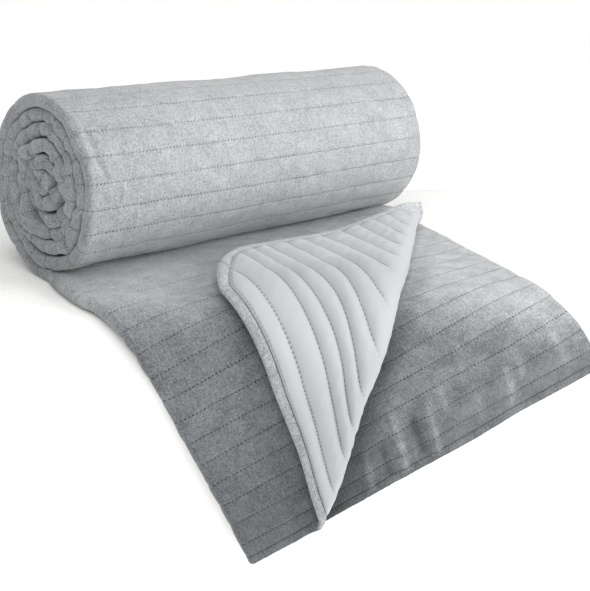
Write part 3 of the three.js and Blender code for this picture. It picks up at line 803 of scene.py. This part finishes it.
across, down, lift, up = [
    np.concatenate(pair, axis=1)
    for pair in zip((across, down, lift, up), (flap_across, flap_down, flap_lift, flap_up))
]
row = rows + 0 * across
column = np.arange(across.shape[1])[None, :]
in_flap = column >= flat_columns
on_middle = column < len(middle_shares)
waves = long_waves(across, down, row)

# Half the cloth's thickness, which is drawn in at every seam and rounded off at the hem's end.
seam_at = STRIP_LENGTH - HEM_BAND - row
from_hem_seam = np.abs(row - (STRIP_LENGTH - HEM_WIDTH))
dip = np.where(row < STRIP_LENGTH - HEM_BAND + 15, drawn_in(seam_at), 0.35)
dip = dip + 0.8 * np.exp(-from_hem_seam / 1.3)
hem_end = np.clip((row - (STRIP_LENGTH - 1.6)) / 1.6, 0, 1) ** 2
hem_end = np.maximum(hem_end, (column == 0) | (column == across.shape[1] - 1))
half = LAYER_THICK / 2 - dip - 1.2 * hem_end
pucker = 0.3 * ripple(cut_across * 2.2, row, 21, seed=23) * np.exp(-from_line(seam_at) / 6)
ridges = raised(STRIP_CREASES, cut_across, row) * (up > 0.5)
uneven = 0.3 * ripple(cut_across, row, 43, seed=24) + ridges

# The turned corner is thin where its lining lies on it, and its hem puffs up round the raw edge.
edge_distance = from_cut_edge(cut_across, row)
hem_zone = in_flap & (edge_distance < HEM_WIDTH)
hem_puff = 0.9 + 3.0 * np.sqrt(np.clip(1 - ((edge_distance - 6) / 6.6) ** 2, 0, 1))
lined = in_flap & (free_edge(row) - fold_across(row) > 26)
back_half = np.where(lined, np.where(hem_zone, hem_puff, LINING_SEAT), half)
back_half = np.where(in_flap & (hem_end > 0.99), np.minimum(back_half, 1.0), back_half)


def offset(height):
    """Points of the strip at a height from the middle of its layers, towards the velvet side."""
    return drape(
        across + out_across * height,
        down + out_down * height,
        lift + up * height + waves,
    ).reshape(-1, 3)


def thick_faces(rows, columns):
    """The closed skin of a sheet whose face points come first and whose back points follow."""
    size = rows * columns
    sides = [(0, columns, rows, False), (columns - 1, columns, rows, True)]
    ends = [(0, 1, columns, True), (size - columns, 1, columns, False)]
    skin = [grid_faces(rows, columns, 0), grid_faces(rows, columns, size)[:, ::-1]]
    for start, step, count, flip in sides + ends:
        path = start + step * np.arange(count)
        a, b = path[:-1], path[1:]
        quads = np.stack([a, a + size, b + size, b], axis=1)
        skin.append(quads[:, ::-1] if flip else quads)
    return np.concatenate(skin).tolist()


def on_both_sides(values):
    """The same values on a sheet's face points and on its back points."""
    return np.tile(np.ravel(values), 2)


# Painted light makes the pile pale on the flat part, by the roll and at the right, and painted
# shade makes it dark where the cloth hangs and towards the hem. Hands have brushed it unevenly.
plan_y = plan_point(across, down)[1]
hanging = ease(-228, -338, plan_y + 43 * ease(230, 460, across))
tone_and_painted_light = PAINTED_LIGHT_FLAT - PAINTED_SHADE_HUNG * hanging - PAINTED_SHADE_LOW * ease(-370, -540, plan_y)
# Painted light by the roll, against the shade that the roll casts on the flat part.
tone_and_painted_light = tone_and_painted_light * (1 + 0.9 * np.exp(-np.maximum(down - 22, 0) / 30) * ease(10, 75, across))
brushed = 0.5 * ripple(cut_across, row * 1.7, 52, seed=26)
brushed = brushed + 0.5 * ripple(cut_across * 0.6, row, 21, seed=27)
tone_and_painted_light = tone_and_painted_light * (1 + 0.1 * brushed * (1 - 0.5 * hanging))
# Painted light on the flat part at the right.
tone_and_painted_light = tone_and_painted_light + 0.2 * ease(330, 440, across) * (1 - hanging)

# Painted light and shade on the crumples near the hem, with uneven patches there, and painted shade
# at the left side by the roll, beside the slanting fold and on the hem's seam.
rumpled = ease(340, 430, row) * ease(60, 150, cut_across) * (up > 0.5)
tone_and_painted_light = tone_and_painted_light + rumpled * (0.075 * ridges + 0.05 * ripple(cut_across, row, 62, seed=25))
tone_and_painted_light = tone_and_painted_light * (1 - 0.3 * ease(24, 0, across) * ease(80, 20, down))
painted_fold_shade = ease(88, 42, across - fold_across(down) + along_edge(FOLD_DRAW, down))
painted_fold_shade = painted_fold_shade * (0.3 * ease(120, 300, down) + 0.36 * ease(280, 420, down))
tone_and_painted_light = tone_and_painted_light * (1 - np.where(on_middle, painted_fold_shade, 0))
painted_hem_seam_shade = 0.38 * np.exp(-from_hem_seam / 0.9) * (up > 0.5)
tone_and_painted_light = tone_and_painted_light * (1 - np.where(in_flap, 0, painted_hem_seam_shade))

# Painted light on the velvet border that is turned over the corner's edge, with painted shade where
# it hangs, and more painted light at its tip.
tone_and_painted_light = np.where(lined & (up < 0), BORDER_PAINTED_LIGHT - BORDER_PAINTED_SHADE * hanging, tone_and_painted_light)
tone_and_painted_light = tone_and_painted_light * (1 + 0.3 * in_flap * ease(80, 20, from_tip(across, down)))
tight = 0.1 + 0.62 * ease(60, 150, down) + 0.26 * ease(150, 300, down)
hem_distance = np.clip(np.where(in_flap, edge_distance, STRIP_LENGTH - row), 0, HEM_FAR)
cloth = np.stack([cut_across, np.maximum(seam_at, -QUILT_PITCH / 2), hem_distance], axis=2)
loose_end = add_cloth(
    "bedspread_loose_end",
    np.concatenate([offset(half + pucker + uneven), offset(-back_half)]),
    thick_faces(*across.shape),
    on_both_sides(cloth),
    on_both_sides(tone_and_painted_light),
    on_both_sides(tight),
    velvet,
    "quilted_panel",
    "quilted_velvet",
)

# The lining that shows on the turned-back corner: a smooth pale satin, puffed up between its seams.
# It is the bedspread's own reverse, caught along its edge by the velvet hem.

LINING_START = 100.0  # the first row on which it shows
LINING_LEAST = 30.0  # no row of it is shorter than this
LINING_GAP = 0.3  # from the velvet's back to the lining's underside
LINING_CREST = 7.4  # its height between the seams, and at them
LINING_GROOVE = 1.5
LINING_PAINTED_LIGHT = 1.09  # the painted light where it lies flat, and the painted shade that takes from it in two steps down
LINING_PAINTED_SHADE_BEND = 0.12
LINING_PAINTED_SHADE_HUNG = 0.15
LINING_COLUMNS = (12, 60, 7)  # round the fold, over the corner and over its hem
LINING_PART = slice(2, 72)  # those between the fold and the hem's seam
LINING_PALE = "b2b4b7"
SATIN_MM = 2.0  # the satin's threads are 0.2 mm apart, drawn coarser so that they show
SATIN_RELIEF = 0.0006  # metres
SATIN_HEM_SEAM = HEM_WIDTH + 2.2  # where the hem's stitches come through
SATIN_SEAM = [  # how far each goes at full depth, and where it ends
    (0.4, 1.1),  # a needle's mark, across the seam
    (0.5, 1.4),  # a needle's mark, along the seam
    (0.3, 2.2),  # the groove that the thread draws
]


def lining_satin():
    """A close satin weave: smooth and pale, with a low broad sheen, painted light, and painted
    shade in its grooves and needle marks.
    """
    material, tree, satin = new_material("pale satin lining")
    cloth = add_node(tree, "ShaderNodeAttribute", attribute_name="cloth_mm").outputs["Vector"]
    satin_painted_light = add_node(tree, "ShaderNodeAttribute", attribute_name="tone_and_painted_light").outputs["Fac"]
    tight = add_node(tree, "ShaderNodeAttribute", attribute_name="tight").outputs["Fac"]
    hole, groove = sewn_seams(tree, cloth, tight, tight, SATIN_SEAM, SATIN_HEM_SEAM, hem_faint=0.5)

    # Pale and even, with painted light, a little painted shade in the grooves and dark painted
    # shade in the needle's marks.
    tone = add_node(tree, "ShaderNodeMath", {0: hole, 1: -0.42, 2: satin_painted_light}, operation="MULTIPLY_ADD")
    tone = add_node(tree, "ShaderNodeMath", {0: groove, 1: -0.1, 2: tone}, operation="MULTIPLY_ADD")
    pale = linear(LINING_PALE)[:3]
    colour = add_node(tree, "ShaderNodeVectorMath", {0: pale, "Scale": tone}, operation="SCALE")
    threads = add_node(
        tree,
        "ShaderNodeTexNoise",
        {"Vector": cloth, "Scale": 1 / SATIN_MM, "Detail": 2.0},
    )
    height = add_node(tree, "ShaderNodeMath", {0: threads, 1: 0.25}, operation="MULTIPLY")
    height = add_node(tree, "ShaderNodeMath", {0: height, 1: hole}, operation="SUBTRACT")
    height = add_node(
        tree,
        "ShaderNodeMath",
        {0: groove, 1: -0.4, 2: height},
        operation="MULTIPLY_ADD",
    )
    relief = {"Height": height, "Distance": SATIN_RELIEF, "Strength": 0.7}
    feed(tree, satin, {
        "Base Color": colour,
        "Normal": add_node(tree, "ShaderNodeBump", relief),
        "Roughness": 0.55,
        "Specular IOR Level": 0.3,
        "Sheen Weight": 0.15,
    })
    return material


# The lining lies on the same rows as the turned corner, inside its hem's seam.
lining_rows = strip_rows(LINING_START, STRIP_LENGTH)[:, 0]
lining_rows = lining_rows[free_edge(lining_rows) - fold_across(lining_rows) > LINING_LEAST]
lining_rows = lining_rows[lining_rows < STRIP_LENGTH - HEM_WIDTH - 0.2][:, None]
lining_across = flap_stations(lining_rows, *LINING_COLUMNS)[1][:, LINING_PART]
lining_down = lining_rows + 0 * lining_across
lining_seam = STRIP_LENGTH - HEM_BAND - lining_down
flap_across, flap_down, flap_lift, flap_out, flap_up = turned_layer(lining_across, lining_down)
lining_waves = long_waves(flap_across, flap_down, lining_down)
lining_edge = from_cut_edge(lining_across, lining_down) - HEM_WIDTH

# It is puffed up between the seams, lies low along the hem and is pulled smooth round the fold.
lining_tight = ease(-14, 16, lining_across - turn_end(lining_down))
puff = 1 - (1 - np.clip(from_line(lining_seam) / (QUILT_PITCH / 2), 0, 1)) ** 2.2
puff = 1 - (1 - puff) * (0.12 + 0.88 * lining_tight)
puff = puff * np.clip(1 - np.exp(-np.maximum(lining_edge, 0) / 4), 0, 1)
crease = 0.5 * ripple(lining_across * 1.8, lining_down, 34, seed=31)
crease = crease + 0.5 * ripple(lining_across, lining_down * 0.5, 70, seed=32)
lining_top = LINING_GROOVE + (LINING_CREST - LINING_GROOVE) * puff * (0.6 + 0.4 * lining_tight)
lining_top = lining_top + crease * puff


def lining_offset(height):
    """Points at a height from the middle of the turned corner, towards its lining."""
    return drape(
        flap_across - flap_out * fold_out[0] * height,
        flap_down - flap_out * fold_out[1] * height,
        flap_lift - flap_up * height + lining_waves,
    ).reshape(-1, 3)


# Painted light makes it paler on the flat part, where it faces the light, and painted shade darker
# where it hangs.
lining_plan_y = plan_point(flap_across, flap_down)[1]
lining_painted_light = LINING_PAINTED_LIGHT - LINING_PAINTED_SHADE_BEND * ease(-190, -270, lining_plan_y)
lining_painted_light = lining_painted_light - LINING_PAINTED_SHADE_HUNG * ease(-270, -420, lining_plan_y)
lining_cloth = np.stack([
    lining_across,
    np.maximum(lining_seam, -QUILT_PITCH / 2),
    lining_edge + HEM_WIDTH,
], axis=2)
lining = add_cloth(
    "turned_corner_lining",
    np.concatenate([
        lining_offset(LINING_SEAT + LINING_GAP + 0 * lining_top),
        lining_offset(lining_top),
    ]),
    thick_faces(*lining_down.shape),
    on_both_sides(lining_cloth),
    on_both_sides(lining_painted_light),
    on_both_sides(lining_tight),
    lining_satin(),
    "corner_lining",
    "lining",
)

# The floor, the studio and the camera. The floor is a plain sheet in matt pale paint, which glows a
# little so that it stays as white as the backdrop. Three softboxes light the bench, and the camera
# stands in front of it, to its left and above it, as in the photograph.

FLOOR_PALE = "fafafa"
FLOOR_HALF = 6.0  # metres from the bench's middle to the floor's sides
FLOOR_GLOW = 0.56
STUDIO_GLOW = 0.44
SOFTBOXES = [  # its place, where it faces, its width in metres, its power in watts
    ("overhead softbox", (-0.1, -0.6, 2.6), (0, -0.1, 0.4), 1.6, 19),
    ("front softbox", (-0.7, -2.1, 2.1), (0, -0.2, 0.4), 1.6, 24),
    ("side softbox", (1.35, -1.1, 1.15), (0, -0.2, 0.4), 0.9, 22),
]
CAMERA_AT = (-0.4269, -1.3853, 0.850)
CAMERA_TURN = np.radians(18.6)
CAMERA_DOWN = 0.351  # radians
CAMERA_ROLL = 0.06
CAMERA_FOCAL = 1072.4 / 590  # the focal length in picture widths
SENSOR_WIDTH = 36


def stand(axes, place):
    """The matrix of a thing that stands at a place, with its own axes turned to the given ones."""
    return Matrix([[*row, at] for row, at in zip(zip(*axes), place)] + [[0, 0, 0, 1]])


floor_paint, floor_tree, paint = new_material("pale matt floor")
feed(floor_tree, paint, {
    "Base Color": linear(FLOOR_PALE),
    "Roughness": 0.9,
    "Emission Color": (1, 1, 1, 1),
    "Emission Strength": FLOOR_GLOW,
})
floor_mesh = bpy.data.meshes.new("floor")
corners = ((-1, -1), (1, -1), (1, 1), (-1, 1))
corners = [(x * FLOOR_HALF, y * FLOOR_HALF, 0) for x, y in corners]
floor_mesh.from_pydata(corners, [], [(0, 1, 2, 3)])
floor_mesh.materials.append(floor_paint)
floor = add_object("floor", floor_mesh)

# The studio's walls light the object softly, and the camera sees them as plain white.
world = bpy.data.worlds.new("white studio")
bpy.context.scene.world = world
world.use_nodes = True
studio = world.node_tree
seen = add_node(studio, "ShaderNodeBackground", {"Color": (1, 1, 1, 1), "Strength": 1.0})
walls = studio.nodes["Background"]
feed(studio, walls, {"Color": (1, 1, 1, 1), "Strength": STUDIO_GLOW})
in_view = add_node(studio, "ShaderNodeLightPath").outputs["Is Camera Ray"]
backdrop = add_node(studio, "ShaderNodeMixShader", {0: in_view, 1: walls, 2: seen})
feed(studio, studio.nodes["World Output"], {"Surface": backdrop})

for name, place, target, width, power in SOFTBOXES:
    light = bpy.data.lights.new(name, "AREA")
    light.shape = "SQUARE"
    light.size = width
    light.energy = power
    back = np.array(place, float) - np.array(target, float)
    back /= np.linalg.norm(back)
    side = np.cross([0.02, 0.01, 1], back)
    side /= np.linalg.norm(side)
    add_object(name, light).matrix_world = stand((side, np.cross(back, side), back), place)

look = np.array([
    np.sin(CAMERA_TURN) * np.cos(CAMERA_DOWN),
    np.cos(CAMERA_TURN) * np.cos(CAMERA_DOWN),
    -np.sin(CAMERA_DOWN),
])
level = np.array([np.cos(CAMERA_TURN), -np.sin(CAMERA_TURN), 0])
upward = np.cross(level, look)
to_right = np.cos(CAMERA_ROLL) * level + np.sin(CAMERA_ROLL) * upward
to_top = -np.sin(CAMERA_ROLL) * level + np.cos(CAMERA_ROLL) * upward
lens = bpy.data.cameras.new("camera")
lens.sensor_fit = "HORIZONTAL"
lens.sensor_width = SENSOR_WIDTH
lens.lens = SENSOR_WIDTH * CAMERA_FOCAL
camera = add_object("camera", lens)
camera.matrix_world = stand((to_right, to_top, -look), CAMERA_AT)
bpy.context.scene.camera = camera
bpy.context.scene.view_settings.view_transform = "Standard"
